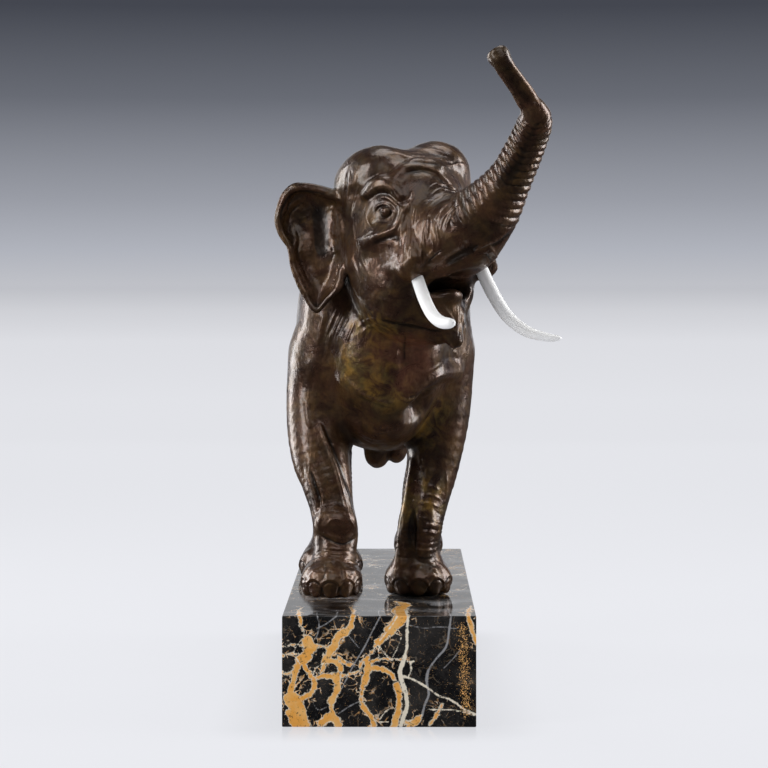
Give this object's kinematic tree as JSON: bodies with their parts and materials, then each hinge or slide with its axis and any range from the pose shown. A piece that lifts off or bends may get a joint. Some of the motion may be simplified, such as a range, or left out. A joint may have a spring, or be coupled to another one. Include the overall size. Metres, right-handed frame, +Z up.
{
  "type": "elephant sculpture on a marble plinth",
  "caption": "Cast bronze elephant striding with raised trunk and white tusks, on a rectangular polished marble plinth.",
  "frame": {"origin": "centre of the plinth's underside", "axes": "+Z up; the animal's body faces -Y along the plinth's length; +X is the side to which it turns its head, its own left"},
  "size_m": [0.2119, 0.4658, 0.4865],
  "materials": {
    "bronze": "dark chocolate-brown waxed bronze patina with olive and reddish areas, soft highlights",
    "tusk_white": "smooth satin white",
    "portoro_marble": "polished black marble with ochre and white veins"
  },
  "bodies": {
    "root": {"elephant": "bronze", "right_tusk": "tusk_white", "left_tusk": "tusk_white", "marble_plinth": "portoro_marble"}
  },
  "joints": []
}
